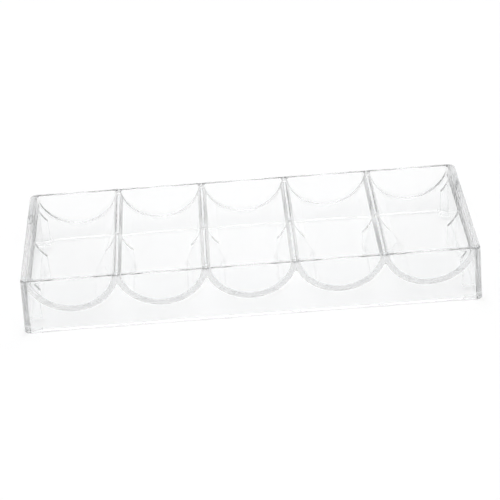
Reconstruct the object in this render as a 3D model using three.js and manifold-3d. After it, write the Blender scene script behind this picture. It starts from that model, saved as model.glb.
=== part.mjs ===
// A clear acrylic rack that holds five rows of poker chips lying on edge.
// Millimetres. X runs along the rack, -Y is the front, +Z is up, and the origin is the middle of the base.

import * as THREE from "three";
import { mergeVertices } from "three/addons/utils/BufferGeometryUtils.js";
import Module from "manifold-3d";

const wasm = await Module();
wasm.setup();

// The chips that the rack is made for.
const CHIP_DIAMETER = 39;
const CHIP_THICKNESS = 3.5;
const CHIPS_IN_A_ROW = 20;

// The rows.
const ROWS = 5;
const ROW_PITCH = 41.1;
const ROW_SPARE_LENGTH = 3;
const CHIP_PLAY = 0.6;
const TROUGH_WALL = 2.3;
const TROUGH_AXIS_ABOVE_RIM = 3.5;
const ARC_STEPS = 48;

// The walls round the rows. They are this thick at the rim, and their outer faces spread towards the base. Under
// the troughs the inner faces of the end walls lean out as much as the outer ones do.
const RIM_HEIGHT = 28.2;
const LONG_WALL = 2.5;
const END_WALL = 2.65;
const LONG_WALL_DRAFT = 0.57;
const END_WALL_DRAFT = 1.4;
const CORNER_RADIUS = 3;

// The plates that stiffen the rack under the troughs.
const PLATE_THICKNESS = 1.6;
const PLATE_BOTTOM = 2.5;
const DIVIDER_PLATE_REACH = 5.55;
const END_PLATE_REACH = 4.15;
const END_PLATE_INSET = 9.2;

// The feet under the four corners.
const FOOT_LEG = 8.4;
const FOOT_HEIGHT = 1.9;
const FOOT_PROUD = 0.4;

const INNER_RADIUS = (CHIP_DIAMETER + CHIP_PLAY) / 2;
const OUTER_RADIUS = INNER_RADIUS + TROUGH_WALL;
const TROUGH_AXIS_Z = RIM_HEIGHT + TROUGH_AXIS_ABOVE_RIM;
const FLANK_BOTTOM = TROUGH_AXIS_Z - Math.sqrt(OUTER_RADIUS ** 2 - (ROW_PITCH / 2) ** 2);
const ROW_LENGTH = CHIPS_IN_A_ROW * CHIP_THICKNESS + ROW_SPARE_LENGTH;
const INSIDE_X = (ROWS * ROW_PITCH) / 2;
const INSIDE_Y = ROW_LENGTH / 2;
const RIM_X = INSIDE_X + END_WALL;
const RIM_Y = INSIDE_Y + LONG_WALL;
const BASE_X = RIM_X + END_WALL_DRAFT;
const BASE_Y = RIM_Y + LONG_WALL_DRAFT;
const BEYOND = 10; // how far a cutting block runs past what it cuts

const SIDES = { left: -1, right: 1 };
const FACES = { front: -1, rear: 1 };

const clearAcrylic = new THREE.MeshStandardMaterial({
  color: 0xf3f6f7,
  roughness: 0.04,
  metalness: 0,
  transparent: true,
  opacity: 0.4,
});

const rack = new THREE.Group();

function place(name, geometry, x = 0, y = 0) {
  const mesh = new THREE.Mesh(geometry, clearAcrylic);
  mesh.name = name;
  mesh.position.set(x, y, 0);
  rack.add(mesh);
}

// Solids for cutting and joining.

function solidOf(geometry) {
  const bare = geometry.clone();
  bare.deleteAttribute("normal");
  bare.deleteAttribute("uv");
  const merged = mergeVertices(bare);
  return new wasm.Manifold(
    new wasm.Mesh({
      numProp: 3,
      vertProperties: merged.attributes.position.array,
      triVerts: new Uint32Array(merged.index.array),
    }),
  );
}

function geometryOf(solid) {
  const mesh = solid.getMesh();
  return new THREE.BufferGeometry()
    .setAttribute("position", new THREE.BufferAttribute(mesh.vertProperties, mesh.numProp))
    .setIndex(new THREE.BufferAttribute(mesh.triVerts, 1));
}

function block([lowX, highX], [lowY, highY], [lowZ, highZ]) {
  const box = new THREE.BoxGeometry(highX - lowX, highY - lowY, highZ - lowZ);
  box.translate((lowX + highX) / 2, (lowY + highY) / 2, (lowZ + highZ) / 2);
  return solidOf(box);
}

// From the face at inner, outwards on one side of the rack, past everything.
function outwards(side, inner) {
  const outer = side * (BASE_X + BEYOND);
  return [Math.min(side * inner, outer), Math.max(side * inner, outer)];
}

// An outline in X and Z, as a plate that runs along Y and is centred on Y = 0.
function plateAlongY(points, length) {
  const plate = new THREE.ExtrudeGeometry(new THREE.Shape(points), { depth: length, bevelEnabled: false });
  plate.rotateX(Math.PI / 2);
  plate.translate(0, length / 2, 0);
  return plate;
}

// The four walls and the feet, cut from one tapered block.

function taperedBlock() {
  const outline = new THREE.Shape();
  outline.moveTo(CORNER_RADIUS - BASE_X, -BASE_Y);
  outline.absarc(BASE_X - CORNER_RADIUS, CORNER_RADIUS - BASE_Y, CORNER_RADIUS, -Math.PI / 2, 0);
  outline.absarc(BASE_X - CORNER_RADIUS, BASE_Y - CORNER_RADIUS, CORNER_RADIUS, 0, Math.PI / 2);
  outline.absarc(CORNER_RADIUS - BASE_X, BASE_Y - CORNER_RADIUS, CORNER_RADIUS, Math.PI / 2, Math.PI);
  outline.absarc(CORNER_RADIUS - BASE_X, CORNER_RADIUS - BASE_Y, CORNER_RADIUS, Math.PI, 1.5 * Math.PI);
  const shell = new THREE.ExtrudeGeometry(outline, {
    depth: RIM_HEIGHT,
    bevelEnabled: false,
    curveSegments: 6,
  });
  const position = shell.attributes.position;
  for (let i = 0; i < position.count; i++) {
    const share = position.getZ(i) / RIM_HEIGHT;
    position.setX(i, position.getX(i) * (1 - (share * END_WALL_DRAFT) / BASE_X));
    position.setY(i, position.getY(i) * (1 - (share * LONG_WALL_DRAFT) / BASE_Y));
  }
  return solidOf(shell);
}

// How far the inner face of an end wall has leaned out at one height under the troughs.
function lean(height) {
  return ((FLANK_BOTTOM - height) * END_WALL_DRAFT) / RIM_HEIGHT;
}

function wallRing() {
  const foot = INSIDE_X + lean(-BEYOND);
  const inside = [
    new THREE.Vector2(-foot, -BEYOND),
    new THREE.Vector2(foot, -BEYOND),
    new THREE.Vector2(INSIDE_X, FLANK_BOTTOM),
    new THREE.Vector2(INSIDE_X, RIM_HEIGHT + BEYOND),
    new THREE.Vector2(-INSIDE_X, RIM_HEIGHT + BEYOND),
    new THREE.Vector2(-INSIDE_X, FLANK_BOTTOM),
  ];
  return taperedBlock().subtract(solidOf(plateAlongY(inside, ROW_LENGTH)));
}

function footSpace(side, face) {
  return block(outwards(side, BASE_X - FOOT_LEG), outwards(face, BASE_Y - FOOT_LEG), [-BEYOND, FOOT_HEIGHT]);
}

const ring = wallRing();
let raisedRing = ring.subtract(
  block([-BASE_X, BASE_X], [-BASE_Y - BEYOND, BASE_Y + BEYOND], [-BEYOND, FOOT_PROUD]),
);
for (const side of Object.values(SIDES)) {
  for (const face of Object.values(FACES)) {
    raisedRing = raisedRing.subtract(footSpace(side, face));
  }
}

const FULL_X = [-BASE_X - BEYOND, BASE_X + BEYOND];
const FULL_Z = [-BEYOND, RIM_HEIGHT + BEYOND];

for (const [faceName, face] of Object.entries(FACES)) {
  const wall = raisedRing.intersect(block(FULL_X, outwards(face, INSIDE_Y), FULL_Z));
  place(`${faceName}_wall`, geometryOf(wall));
}

for (const [sideName, side] of Object.entries(SIDES)) {
  const wall = raisedRing.intersect(block(outwards(side, INSIDE_X), [-INSIDE_Y, INSIDE_Y], FULL_Z));
  place(`${sideName}_end_wall`, geometryOf(wall));
  for (const [faceName, face] of Object.entries(FACES)) {
    place(`${faceName}_${sideName}_foot`, geometryOf(ring.intersect(footSpace(side, face))));
  }
}

// The troughs. Each is one row pitch wide, and its flanks stand against its neighbours or an end wall.

// Points below the axis of a trough, from one height to the same height on the other side.
function arcBelow(radius, height) {
  const halfAngle = Math.acos((TROUGH_AXIS_Z - height) / radius);
  const points = [];
  for (let i = 0; i <= ARC_STEPS; i++) {
    const angle = halfAngle * ((2 * i) / ARC_STEPS - 1);
    points.push(
      new THREE.Vector2(radius * Math.sin(angle), TROUGH_AXIS_Z - radius * Math.cos(angle)),
    );
  }
  return points;
}

const troughOutline = [
  ...arcBelow(OUTER_RADIUS, FLANK_BOTTOM),
  new THREE.Vector2(ROW_PITCH / 2, RIM_HEIGHT),
  ...arcBelow(INNER_RADIUS, RIM_HEIGHT).reverse(),
  new THREE.Vector2(-ROW_PITCH / 2, RIM_HEIGHT),
];

for (let row = 0; row < ROWS; row++) {
  const x = (row - (ROWS - 1) / 2) * ROW_PITCH;
  place(`chip_trough_${row + 1}`, plateAlongY(troughOutline, ROW_LENGTH), x);
}

// The stiffening plates, whose upper edges follow the undersides of the troughs.

// The underside of the trough to the right of a divider, with X counted from the middle of the divider.
function undersideWithin(reach) {
  const points = arcBelow(OUTER_RADIUS, FLANK_BOTTOM);
  points.forEach((point) => (point.x += ROW_PITCH / 2));
  const next = points.findIndex((point) => point.x > reach);
  const share = (reach - points[next - 1].x) / (points[next].x - points[next - 1].x);
  return [...points.slice(0, next), points[next - 1].clone().lerp(points[next], share)];
}

function mirrored(points) {
  return points.map((point) => new THREE.Vector2(-point.x, point.y));
}

function dividerPlateOutline() {
  const right = undersideWithin(DIVIDER_PLATE_REACH);
  return [
    new THREE.Vector2(-DIVIDER_PLATE_REACH, PLATE_BOTTOM),
    new THREE.Vector2(DIVIDER_PLATE_REACH, PLATE_BOTTOM),
    ...right.toReversed(),
    ...mirrored(right.slice(1)),
  ];
}

// Against the left end wall, whose upright inner face is at X = 0 here.
function endPlateOutline(reach) {
  return [
    new THREE.Vector2(-lean(PLATE_BOTTOM), PLATE_BOTTOM),
    new THREE.Vector2(reach, PLATE_BOTTOM),
    ...undersideWithin(reach).toReversed(),
  ];
}

for (let divider = 1; divider < ROWS; divider++) {
  const x = divider * ROW_PITCH - INSIDE_X;
  place(`divider_plate_${divider}`, plateAlongY(dividerPlateOutline(), PLATE_THICKNESS), x);
}

const END_PLATES = {
  front: { y: END_PLATE_INSET - RIM_Y, reach: END_PLATE_REACH },
  middle: { y: 0, reach: DIVIDER_PLATE_REACH },
  rear: { y: RIM_Y - END_PLATE_INSET, reach: END_PLATE_REACH },
};

for (const [sideName, side] of Object.entries(SIDES)) {
  for (const [plateName, { y, reach }] of Object.entries(END_PLATES)) {
    const left = endPlateOutline(reach);
    const outline = side === SIDES.left ? left : mirrored(left).reverse();
    place(`${sideName}_${plateName}_gusset`, plateAlongY(outline, PLATE_THICKNESS), side * INSIDE_X, y);
  }
}

export default rack;
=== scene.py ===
"""A clear acrylic poker-chip rack on a white table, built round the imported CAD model. Metres, Z up."""

import math

import bmesh
import bpy
from mathutils import Matrix, Vector


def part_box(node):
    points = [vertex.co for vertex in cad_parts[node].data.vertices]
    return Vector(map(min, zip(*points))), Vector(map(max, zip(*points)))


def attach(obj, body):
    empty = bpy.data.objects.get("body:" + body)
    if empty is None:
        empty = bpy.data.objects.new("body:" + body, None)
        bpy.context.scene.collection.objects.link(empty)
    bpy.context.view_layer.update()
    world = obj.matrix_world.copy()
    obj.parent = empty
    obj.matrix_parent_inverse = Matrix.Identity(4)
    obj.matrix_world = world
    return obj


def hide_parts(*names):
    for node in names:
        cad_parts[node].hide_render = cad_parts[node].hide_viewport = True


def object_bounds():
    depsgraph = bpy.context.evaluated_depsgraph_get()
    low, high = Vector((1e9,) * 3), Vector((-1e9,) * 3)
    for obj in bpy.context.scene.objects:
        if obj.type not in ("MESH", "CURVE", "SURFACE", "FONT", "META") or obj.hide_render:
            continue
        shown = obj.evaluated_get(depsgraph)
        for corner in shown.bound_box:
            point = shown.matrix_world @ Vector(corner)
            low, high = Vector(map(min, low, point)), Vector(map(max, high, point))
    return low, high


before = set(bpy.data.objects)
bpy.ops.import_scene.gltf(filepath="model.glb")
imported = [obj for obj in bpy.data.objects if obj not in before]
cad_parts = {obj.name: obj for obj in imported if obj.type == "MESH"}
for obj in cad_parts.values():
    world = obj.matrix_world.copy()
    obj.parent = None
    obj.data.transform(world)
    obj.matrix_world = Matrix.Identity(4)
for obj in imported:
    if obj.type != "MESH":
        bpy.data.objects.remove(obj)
cad_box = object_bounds()
MM = 0.001

# --- Sizes that the frame doesn't state, as the CAD model has them --------------------------------

INNER_RADIUS = 19.8 * MM
TROUGH_WALL = 2.3 * MM
OUTER_RADIUS = INNER_RADIUS + TROUGH_WALL
CORNER_RADIUS = 3.0 * MM
LONG_WALL_DRAFT = 0.57 * MM
END_WALL_DRAFT = 1.4 * MM
FOOT_PROUD = 0.4 * MM

# Softened edges, which only the visual model has.
LONG_WALL_ROUNDS = {"base": 1.1 * MM, "outer_rim": 1.1 * MM, "inner_rim": 1.1 * MM}
END_WALL_ROUNDS = {"base": 0.3 * MM, "outer_rim": 1.1 * MM, "inner_rim": 0.2 * MM}
INNER_CORNER_ROUND = 0.05 * MM
TROUGH_END_FILLET = 0.75 * MM
DIVIDER_ROUND = 0.3 * MM
VALLEY_ROUND = 0.15 * MM
VALLEY_WEB = 0.6 * MM
PLATE_ROUND = 0.15 * MM
BOND = 0.06 * MM  # how far bonded pieces reach into each other, so that light passes from one to the next
NEAR = 0.001 * MM  # points closer than this count as one place

# --- Places, from the frame -----------------------------------------------------------------------

trough_low, trough_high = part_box("chip_trough_1")
end_wall_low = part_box("right_end_wall")[0]
foot_low, foot_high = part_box("front_left_foot")

RIM_Z = trough_high.z
AXIS_Z = trough_low.z + OUTER_RADIUS
PITCH = trough_high.x - trough_low.x
INSIDE_Y = trough_high.y
INSIDE_X = end_wall_low.x
BASE_X = cad_box[1][0]
BASE_Y = cad_box[1][1]
FLANK_BOTTOM = AXIS_Z - math.sqrt(OUTER_RADIUS**2 - (PITCH / 2) ** 2)
FOOT_LEG = foot_high.x - foot_low.x
FOOT_HEIGHT = foot_high.z

# --- Materials ------------------------------------------------------------------------------------


def new_material(name):
    material = bpy.data.materials.new(name)
    material.use_nodes = True
    return material, material.node_tree.nodes, material.node_tree.links


ACRYLIC_IOR = 1.49
ABSORPTION_PER_METRE = 2.4
SMUDGE_SHARE = (0.45, 0.75)  # the noise at which a smudge starts, and at which it is at its full roughness
SMUDGE_DETAIL = 4.0
FLOW_SCALE = 45.0
FLOW_DETAIL = 1.0
FLOW_HEIGHT = 0.5 * MM


def noise(nodes, links, coordinates, scale, detail):
    texture = nodes.new("ShaderNodeTexNoise")
    texture.inputs["Scale"].default_value = scale
    texture.inputs["Detail"].default_value = detail
    links.new(coordinates.outputs["Object"], texture.inputs["Vector"])
    return texture.outputs["Fac"]


def clear_acrylic(name, tint, smudge_roughness, waviness, smudge_scale):
    """Clear plastic with smudges from handling, and the faint waviness of a moulded or polished surface."""
    material, nodes, links = new_material(name)
    shader = nodes["Principled BSDF"]
    shader.inputs["Base Color"].default_value = (*tint, 1)
    shader.inputs["Transmission Weight"].default_value = 1.0
    shader.inputs["IOR"].default_value = ACRYLIC_IOR
    coordinates = nodes.new("ShaderNodeTexCoord")

    smudges = nodes.new("ShaderNodeMapRange")
    smudges.inputs["From Min"].default_value = SMUDGE_SHARE[0]
    smudges.inputs["From Max"].default_value = SMUDGE_SHARE[1]
    smudges.inputs["To Min"].default_value = 0.0
    smudges.inputs["To Max"].default_value = smudge_roughness
    links.new(noise(nodes, links, coordinates, smudge_scale, SMUDGE_DETAIL), smudges.inputs["Value"])
    links.new(smudges.outputs["Result"], shader.inputs["Roughness"])

    bump = nodes.new("ShaderNodeBump")
    bump.inputs["Strength"].default_value = waviness
    bump.inputs["Distance"].default_value = FLOW_HEIGHT
    links.new(noise(nodes, links, coordinates, FLOW_SCALE, FLOW_DETAIL), bump.inputs["Height"])
    links.new(bump.outputs["Normal"], shader.inputs["Normal"])

    # Mid grey takes half of the density from every colour.
    depth = nodes.new("ShaderNodeVolumeAbsorption")
    depth.inputs["Color"].default_value = (0.5, 0.5, 0.5, 1)
    depth.inputs["Density"].default_value = 2 * ABSORPTION_PER_METRE
    links.new(depth.outputs["Volume"], nodes["Material Output"].inputs["Volume"])
    return material


WALL_ACRYLIC = clear_acrylic("clear_wall_acrylic", (0.985, 0.988, 0.99), 0.02, 0.05, 60.0)
TROUGH_ACRYLIC = clear_acrylic("clear_trough_acrylic", (0.99, 0.992, 0.993), 0.03, 0.05, 35.0)
PLATE_ACRYLIC = clear_acrylic("clear_plate_acrylic", (0.98, 0.984, 0.985), 0.05, 0.08, 90.0)
FOOT_ACRYLIC = clear_acrylic("clear_foot_acrylic", (0.98, 0.984, 0.985), 0.08, 0.08, 120.0)

# --- Mesh helpers ---------------------------------------------------------------------------------

WELD = 1e-7  # metres within which two corners of a mesh are one
SMOOTH_BELOW = math.radians(20)


def object_of(name, bm):
    """Makes an object from a bmesh, and frees it."""
    bmesh.ops.remove_doubles(bm, verts=bm.verts, dist=WELD)
    bmesh.ops.recalc_face_normals(bm, faces=bm.faces)
    mesh = bpy.data.meshes.new(name)
    bm.to_mesh(mesh)
    bm.free()
    obj = bpy.data.objects.new(name, mesh)
    bpy.context.scene.collection.objects.link(obj)
    return obj


def apply_modifiers(obj):
    graph = bpy.context.evaluated_depsgraph_get()
    mesh = bpy.data.meshes.new_from_object(obj.evaluated_get(graph), depsgraph=graph)
    mesh.name = obj.name
    obj.modifiers.clear()
    obj.data = mesh


def block(low, high):
    """A box as a mesh object, for cutting with."""
    bm = bmesh.new()
    bmesh.ops.create_cube(bm, size=1.0)
    for vert in bm.verts:
        vert.co = Vector(low[axis] if vert.co[axis] < 0 else high[axis] for axis in range(3))
    return object_of("cutter", bm)


def carve(obj, operation, low, high):
    """Keeps (INTERSECT) or removes (DIFFERENCE) what is inside a box."""
    cutter = block(low, high)
    cut = obj.modifiers.new("cut", "BOOLEAN")
    cut.operation = operation
    cut.solver = "EXACT"
    cut.object = cutter
    apply_modifiers(obj)
    bpy.data.objects.remove(cutter)


def round_edges(obj, width, segments, chosen):
    """Rounds the edges for which chosen(edge) is true."""
    bm = bmesh.new()
    bm.from_mesh(obj.data)
    edges = [edge for edge in bm.edges if chosen(edge)]
    bmesh.ops.bevel(bm, geom=edges, offset=width, segments=segments, profile=0.5, affect="EDGES")
    bm.to_mesh(obj.data)
    bm.free()


def finish_piece(obj, material, slot, *nodes):
    """Flat faces stay flat and round ones smooth, and the piece takes the place of its CAD nodes."""
    bm = bmesh.new()
    bm.from_mesh(obj.data)
    bmesh.ops.remove_doubles(bm, verts=bm.verts, dist=2 * WELD)
    bmesh.ops.dissolve_degenerate(bm, edges=bm.edges, dist=WELD)
    bmesh.ops.recalc_face_normals(bm, faces=bm.faces)
    bm.to_mesh(obj.data)
    bm.free()
    obj.data.shade_smooth()
    obj.data.set_sharp_from_angle(angle=SMOOTH_BELOW)
    weighted = obj.modifiers.new("weighted", "WEIGHTED_NORMAL")
    weighted.keep_sharp = True
    weighted.weight = 100
    apply_modifiers(obj)
    obj.data.materials.clear()
    obj.data.materials.append(material)
    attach(obj, "root")
    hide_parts(*nodes)


def skin(bm, rings, closed):
    """Joins rings of points by quads. closed says whether each ring closes on itself."""
    rows = [[bm.verts.new(point) for point in ring] for ring in rings]
    count = len(rows[0])
    for row, after in zip(rows, rows[1:]):
        for i in range(count if closed else count - 1):
            j = (i + 1) % count
            bm.faces.new((row[i], row[j], after[j], after[i]))
    return rows


def arc(centre, radius, start, end, steps):
    """Points on an arc, from the start angle to the end angle, in degrees."""
    angles = [math.radians(start + (end - start) * i / steps) for i in range(steps + 1)]
    return [(centre[0] + radius * math.cos(a), centre[1] + radius * math.sin(a)) for a in angles]


# --- Troughs --------------------------------------------------------------------------------------

ROWS = 5
ARC_STEPS = 40
VALLEY_STEPS = 6
FLANK_STEPS = 8
FILLET_STEPS = 6
ROUND_STEPS = 6


def spread(start, end, steps):
    """Even steps from start, without the end itself."""
    return [start + (end - start) * i / steps for i in range(steps)]


def half_section(inner_radius, by_wall):
    """Pairs of points, outside and inside, from a trough's bottom to its right side, X from its axis.

    Two troughs share the divider between them, with a narrow flat ceiling in the valley under it. The
    outermost flanks are upright and stand against the end walls.
    """
    side = PITCH / 2 + BOND if by_wall else PITCH / 2
    fillet_x = side if by_wall else side - VALLEY_WEB / 2
    fillet_drop = math.sqrt((OUTER_RADIUS + VALLEY_ROUND) ** 2 - fillet_x**2)
    ceiling = fillet_drop - VALLEY_ROUND
    start = math.atan2(fillet_x, fillet_drop)
    tip = math.atan2(fillet_x, ceiling)
    last = math.acos((AXIS_Z - RIM_Z) / inner_radius)
    angles = spread(0, start, ARC_STEPS) + spread(start, tip, VALLEY_STEPS) + spread(tip, last, FLANK_STEPS)
    pairs = []
    for angle in angles:
        if angle <= start:
            outside = (OUTER_RADIUS * math.sin(angle), AXIS_Z - OUTER_RADIUS * math.cos(angle))
        elif angle < tip:
            along = fillet_x * math.sin(angle) + fillet_drop * math.cos(angle)
            reach = along - math.sqrt(along**2 - fillet_x**2 - fillet_drop**2 + VALLEY_ROUND**2)
            outside = (reach * math.sin(angle), AXIS_Z - reach * math.cos(angle))
        elif by_wall:
            outside = (side, AXIS_Z - side / math.tan(angle))
        else:
            outside = (side, AXIS_Z - ceiling)
        pairs.append((outside, (inner_radius * math.sin(angle), AXIS_Z - inner_radius * math.cos(angle))))
    edge = (inner_radius * math.sin(last), RIM_Z)
    if by_wall:
        return pairs + [((side, RIM_Z - 2 * BOND), edge), ((side - BOND, RIM_Z), edge)]
    return pairs + [((side, AXIS_Z - ceiling), edge), ((side, AXIS_Z - ceiling), (side, RIM_Z))]


def troughs_section(inner_radius):
    """All the troughs side by side, as pairs of points from left to right."""
    section = []
    for row in range(ROWS):
        axis_x = (row - (ROWS - 1) / 2) * PITCH
        left = half_section(inner_radius, row == 0)
        right = half_section(inner_radius, row == ROWS - 1)
        section += [[(axis_x - x, z) for x, z in pair] for pair in reversed(left[1:])]
        section += [[(axis_x + x, z) for x, z in pair] for pair in right]
    return section


def fillet_stations(low, high):
    """Places along Y, each with how much the fillet at an end wall of the trough thickens it there."""
    near = [(low - BOND, TROUGH_END_FILLET)]
    for i in range(FILLET_STEPS + 1):
        angle = math.pi / 2 * i / FILLET_STEPS
        along = TROUGH_END_FILLET * (1 - math.cos(angle))
        rise = TROUGH_END_FILLET * (1 - math.sin(angle))
        near.append((low + along, rise))
    far = [(low + high - y, rise) for y, rise in reversed(near)]
    return near + far


def make_troughs(nodes):
    """The troughs in one piece, because the bonds along their dividers don't show."""
    low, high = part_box(nodes[0])
    bm = bmesh.new()
    rings = []
    for y, rise in fillet_stations(low.y, high.y):
        section = troughs_section(INNER_RADIUS - rise)
        outline = [pair[0] for pair in section] + [pair[1] for pair in reversed(section)]
        rings.append([(x, y, z) for x, z in outline])
    rows = skin(bm, rings, closed=True)
    count = len(rows[0])
    for row in (rows[0], rows[-1]):
        for i in range(count // 2 - 1):
            bm.faces.new((row[i], row[i + 1], row[count - 2 - i], row[count - 1 - i]))
    obj = object_of("chip_troughs_visual", bm)

    def on_inner_rim(edge):
        ends = [vert.co for vert in edge.verts]
        lengthwise = abs(ends[0].y - ends[1].y) > WELD
        at_rim = all(point.z > RIM_Z - NEAR for point in ends)
        across = [(point.x / PITCH + ROWS / 2) % 1 - 0.5 for point in ends]
        return lengthwise and at_rim and all(abs(share) * PITCH < INNER_RADIUS for share in across)

    round_edges(obj, DIVIDER_ROUND, ROUND_STEPS, on_inner_rim)
    finish_piece(obj, TROUGH_ACRYLIC, "clear_trough", *nodes)


make_troughs([f"chip_trough_{row}" for row in range(1, ROWS + 1)])

# --- Walls and feet -------------------------------------------------------------------------------

CORNER_STEPS = 12


def plan_stations(inside_y):
    """Round the plan, pairs of points: on the outer face at the base, and on the inner face."""
    pairs = []
    for turn, (sx, sy) in enumerate(((1, -1), (1, 1), (-1, 1), (-1, -1))):
        outer = Vector((sx * (BASE_X - CORNER_RADIUS), sy * (BASE_Y - CORNER_RADIUS)))
        inner = Vector((sx * (INSIDE_X - INNER_CORNER_ROUND), sy * (inside_y - INNER_CORNER_ROUND)))
        for i in range(CORNER_STEPS + 1):
            angle = math.pi / 2 * (turn - 1 + i / CORNER_STEPS)
            direction = Vector((math.cos(angle), math.sin(angle)))
            pairs.append((outer + CORNER_RADIUS * direction, inner + INNER_CORNER_ROUND * direction))
    return pairs


WALL_SPREAD = END_WALL_DRAFT / RIM_Z


def lean(z):
    """How far an end wall's inner face stands back at a height, below where the trough meets it."""
    return max(0, FLANK_BOTTOM - z) * WALL_SPREAD


def wall_profile(base_z, rounds):
    """Round a wall's section: which face, the distance from it into the wall, and the height."""

    def corner(face, radius, z, start, end):
        return [(face, *p) for p in arc((radius, z), radius, start, end, ROUND_STEPS)]

    base, outer_rim, inner_rim = rounds["base"], rounds["outer_rim"], rounds["inner_rim"]
    return [
        *corner("outer", base, base_z + base, 270, 180),
        *corner("outer", outer_rim, RIM_Z - outer_rim, 180, 90),
        *corner("inner", inner_rim, RIM_Z - inner_rim, 90, 180),
        ("inner", 0.0, FLANK_BOTTOM),
        *corner("inner", base, base_z + base, 180, 270),
    ]


def wall_ring(base_z, rounds, inside_y=INSIDE_Y):
    """All four walls in one, with softened rims and bases, to be cut into the real pieces."""
    bm = bmesh.new()
    rings = []
    for outer, inner_at_rim in plan_stations(inside_y):
        ring = []
        for face, inset, z in wall_profile(base_z, rounds):
            share = z / RIM_Z
            inner = inner_at_rim + Vector((math.copysign(lean(z), inner_at_rim.x), 0))
            drafted_x = outer.x * (1 - share * END_WALL_DRAFT / BASE_X)
            drafted_y = outer.y * (1 - share * LONG_WALL_DRAFT / BASE_Y)
            drafted = Vector((drafted_x, drafted_y))
            across = (inner - drafted).normalized()
            point = drafted + across * inset if face == "outer" else inner - across * inset
            ring.append((point.x, point.y, z))
        rings.append(ring)
    rings.append(rings[0])
    skin(bm, rings, closed=True)
    return object_of("wall_ring", bm)


FAR = 300 * MM  # past everything


def foot_space(side, face, grow=0.0):
    """The box that a corner foot fills, made larger by grow."""
    inner_x = side * (BASE_X - FOOT_LEG - grow)
    inner_y = face * (BASE_Y - FOOT_LEG - grow)
    low = (min(inner_x, side * FAR), min(inner_y, face * FAR), -FAR)
    high = (max(inner_x, side * FAR), max(inner_y, face * FAR), FOOT_HEIGHT + grow)
    return low, high


def make_wall(node, low, high, rounds, inside_y=INSIDE_Y):
    """Cuts one wall out of a ring, between low and high, and leaves room for the feet."""
    obj = wall_ring(FOOT_PROUD, rounds, inside_y)
    obj.name = node + "_visual"
    carve(obj, "INTERSECT", low, high)
    for side in (-1, 1):
        for face in (-1, 1):
            carve(obj, "DIFFERENCE", *foot_space(side, face))
    finish_piece(obj, WALL_ACRYLIC, "clear_wall", node)


make_wall("front_wall", (-FAR, -FAR, -FAR), (FAR, -INSIDE_Y, FAR), LONG_WALL_ROUNDS)
make_wall("rear_wall", (-FAR, INSIDE_Y, -FAR), (FAR, FAR, FAR), LONG_WALL_ROUNDS)
END_WALL_INSIDE_Y = INSIDE_Y + 0.5 * MM  # so that an end wall keeps nothing of the long walls' inner faces
for side_name, near_x, far_x in (("left", -FAR, 0), ("right", 0, FAR)):
    low = (near_x, -INSIDE_Y - BOND, -FAR)
    high = (far_x, INSIDE_Y + BOND, FAR)
    make_wall(f"{side_name}_end_wall", low, high, END_WALL_ROUNDS, END_WALL_INSIDE_Y)

for side_name, side in (("left", -1), ("right", 1)):
    for face_name, face in (("front", -1), ("rear", 1)):
        foot = wall_ring(0.0, END_WALL_ROUNDS)
        foot.name = f"{face_name}_{side_name}_foot_visual"
        carve(foot, "INTERSECT", *foot_space(side, face, BOND))
        finish_piece(foot, FOOT_ACRYLIC, "clear_foot", f"{face_name}_{side_name}_foot")

# --- Plates under the troughs ---------------------------------------------------------------------

PLATE_ARC_STEPS = 14
PLATE_ROUND_STEPS = 2


def underside(reach):
    """The underside of the trough right of a divider, from reach back to the middle of the divider."""
    start = math.asin((PITCH / 2 - reach) / OUTER_RADIUS)
    end = math.asin((PITCH / 2) / OUTER_RADIUS)
    points = []
    for i in range(PLATE_ARC_STEPS + 1):
        angle = start + (end - start) * i / PLATE_ARC_STEPS
        x = PITCH / 2 - OUTER_RADIUS * math.sin(angle)
        points.append((x, AXIS_Z - OUTER_RADIUS * math.cos(angle) + BOND))
    return points


def foot_lean(reach, z):
    """How much further a plate goes at a height, on the side where it meets an end wall."""
    return 0 if reach > BOND else lean(z)


def make_plate(node, reaches, foot_x):
    """A plate under the troughs. reaches is how far it goes to the left and right of foot_x."""
    low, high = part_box(node)
    left, right = reaches
    outline = [(-left - foot_lean(left, low.z), low.z), (right + foot_lean(right, low.z), low.z)]
    outline += underside(right) if right > BOND else [(right, underside(left)[-1][1])]
    if left > BOND:
        flipped = [(-x, z) for x, z in reversed(underside(left))]
        outline += flipped[1:] if right > BOND else flipped
    bm = bmesh.new()
    ends = [[(foot_x + x, y, z) for x, z in outline] for y in (low.y, high.y)]
    rows = skin(bm, ends, closed=True)
    bm.faces.new(reversed(rows[0]))
    bm.faces.new(rows[1])
    obj = object_of(node + "_visual", bm)
    free_sides = [foot_x + s * r for s, r in ((-1, left), (1, right)) if r > BOND]

    def free_edge(edge):
        a, b = (vert.co for vert in edge.verts)
        at_bottom = max(a.z, b.z) < low.z + NEAR
        at_side = any(abs(a.x - x) < NEAR and abs(b.x - x) < NEAR for x in free_sides)
        return at_bottom or at_side

    round_edges(obj, PLATE_ROUND, PLATE_ROUND_STEPS, free_edge)
    finish_piece(obj, PLATE_ACRYLIC, "clear_plate", node)


for divider in range(1, ROWS):
    plate_low, plate_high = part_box(f"divider_plate_{divider}")
    middle = (plate_low.x + plate_high.x) / 2
    half = (plate_high.x - plate_low.x) / 2
    make_plate(f"divider_plate_{divider}", (half, half), middle)

for side_name, side in (("left", -1), ("right", 1)):
    for place in ("front", "middle", "rear"):
        node = f"{side_name}_{place}_gusset"
        plate_low, plate_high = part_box(node)
        reach = INSIDE_X - min(abs(plate_low.x), abs(plate_high.x))
        reaches = (BOND, reach) if side < 0 else (reach, BOND)
        make_plate(node, reaches, side * INSIDE_X)

# --- Floor, light and camera ----------------------------------------------------------------------

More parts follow.
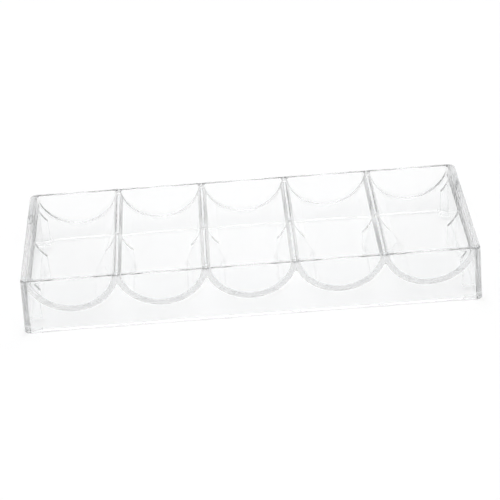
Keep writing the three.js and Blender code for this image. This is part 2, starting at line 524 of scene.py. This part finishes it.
FLOOR_HALF = 3.0
FLOOR_GAP = 0.03 * MM  # air under the feet
TABLE_WHITE = 0.863
# Painted pool of light: the table glows under the middle of the rack, brightest there and fading away from
# it.
PAINTED_GLOW_IN_MIDDLE = 0.03
PAINTED_GLOW_FALLS = (20 * MM, 140 * MM)  # from the middle of the rack


def make_floor():
    """A matt white table with a painted pool of light: it glows faintly under the middle of the rack."""
    bm = bmesh.new()
    bmesh.ops.create_grid(bm, x_segments=1, y_segments=1, size=FLOOR_HALF)
    floor = object_of("table", bm)
    floor.location.z = -FLOOR_GAP
    material, nodes, links = new_material("white_table")
    shader = nodes["Principled BSDF"]
    shader.inputs["Base Color"].default_value = (TABLE_WHITE, TABLE_WHITE, TABLE_WHITE, 1)
    shader.inputs["Roughness"].default_value = 1.0
    shader.inputs["Specular IOR Level"].default_value = 0.0
    shader.inputs["Emission Color"].default_value = (1, 1, 1, 1)
    coordinates = nodes.new("ShaderNodeTexCoord")
    distance = nodes.new("ShaderNodeVectorMath")
    distance.operation = "LENGTH"
    # Painted pool of light: emission strongest under the middle of the rack, falling to nothing further out.
    painted_glow = nodes.new("ShaderNodeMapRange")
    painted_glow.interpolation_type = "SMOOTHSTEP"
    painted_glow.inputs["From Min"].default_value = PAINTED_GLOW_FALLS[0]
    painted_glow.inputs["From Max"].default_value = PAINTED_GLOW_FALLS[1]
    painted_glow.inputs["To Min"].default_value = PAINTED_GLOW_IN_MIDDLE
    painted_glow.inputs["To Max"].default_value = 0.0
    links.new(coordinates.outputs["Object"], distance.inputs[0])
    links.new(distance.outputs["Value"], painted_glow.inputs["Value"])
    links.new(painted_glow.outputs["Result"], shader.inputs["Emission Strength"])
    floor.data.materials.append(material)


STUDIO_LEVEL = 1.03
KEY_LEVEL = 1.2
KEY_DIRECTION = (0.0, -0.25, 0.968)
KEY_RISES = (0.775, 1.0)  # cosine of the angle from the middle of the key
SIDES_FALL = (0.7, 0.92)  # how far a direction points to a side


def make_world():
    """A white studio: even light all round, a large soft key overhead towards the camera, and dark sides."""
    world = bpy.data.worlds.new("studio")
    world.use_nodes = True
    nodes, links = world.node_tree.nodes, world.node_tree.links

    def share(source, start, end, amount):
        ramp = nodes.new("ShaderNodeMapRange")
        ramp.interpolation_type = "SMOOTHSTEP"
        ramp.inputs["From Min"].default_value = start
        ramp.inputs["From Max"].default_value = end
        ramp.inputs["To Max"].default_value = amount
        links.new(source, ramp.inputs["Value"])
        return ramp.outputs["Result"]

    def combine(operation, *values):
        math_node = nodes.new("ShaderNodeMath")
        math_node.operation = operation
        for socket, value in zip(math_node.inputs, values):
            if isinstance(value, float):
                socket.default_value = value
            else:
                links.new(value, socket)
        return math_node.outputs["Value"]

    coordinates = nodes.new("ShaderNodeTexCoord")
    towards_key = nodes.new("ShaderNodeVectorMath")
    towards_key.operation = "DOT_PRODUCT"
    towards_key.inputs[1].default_value = KEY_DIRECTION
    links.new(coordinates.outputs["Generated"], towards_key.inputs[0])
    axes = nodes.new("ShaderNodeSeparateXYZ")
    links.new(coordinates.outputs["Generated"], axes.inputs["Vector"])
    sideways = combine("ABSOLUTE", axes.outputs["X"])

    key = share(towards_key.outputs["Value"], *KEY_RISES, KEY_LEVEL)
    lost = share(sideways, *SIDES_FALL, STUDIO_LEVEL)
    level = combine("SUBTRACT", combine("ADD", key, STUDIO_LEVEL), lost)
    links.new(level, nodes["Background"].inputs["Strength"])
    nodes["Background"].inputs["Color"].default_value = (1, 1, 1, 1)
    bpy.context.scene.world = world


CAMERA_PLACE = Vector((-10.86, -644.16, 432.22)) * MM
CAMERA_AZIMUTH = math.radians(1.032)
CAMERA_ELEVATION = math.radians(33.166)
CAMERA_ROLL = math.radians(-3.763)
CAMERA_LENS = 115.12
CAMERA_SENSOR = 36.0
LIGHT_BOUNCES = 30


def make_camera():
    azimuth, elevation = CAMERA_AZIMUTH, CAMERA_ELEVATION
    level = Vector((math.sin(azimuth), math.cos(azimuth), 0)) * math.cos(elevation)
    forward = level - Vector((0, 0, math.sin(elevation)))
    right = forward.cross(Vector((0, 0, 1))).normalized()
    up = right.cross(forward)
    c, s = math.cos(CAMERA_ROLL), math.sin(CAMERA_ROLL)
    turn = Matrix((c * right + s * up, c * up - s * right, -forward)).transposed()
    data = bpy.data.cameras.new("camera")
    data.lens = CAMERA_LENS
    data.sensor_width = CAMERA_SENSOR
    camera = bpy.data.objects.new("camera", data)
    camera.matrix_world = Matrix.Translation(CAMERA_PLACE) @ turn.to_4x4()
    bpy.context.scene.collection.objects.link(camera)
    bpy.context.scene.camera = camera


def light_paths():
    """Enough bounces for light led along inside the walls, and no blur, which darkens what is under them."""
    cycles = bpy.context.scene.cycles
    cycles.blur_glossy = 0.0
    cycles.max_bounces = LIGHT_BOUNCES
    cycles.glossy_bounces = LIGHT_BOUNCES
    cycles.transmission_bounces = LIGHT_BOUNCES
    bpy.context.scene.view_settings.view_transform = "Standard"


make_floor()
make_world()
make_camera()
light_paths()
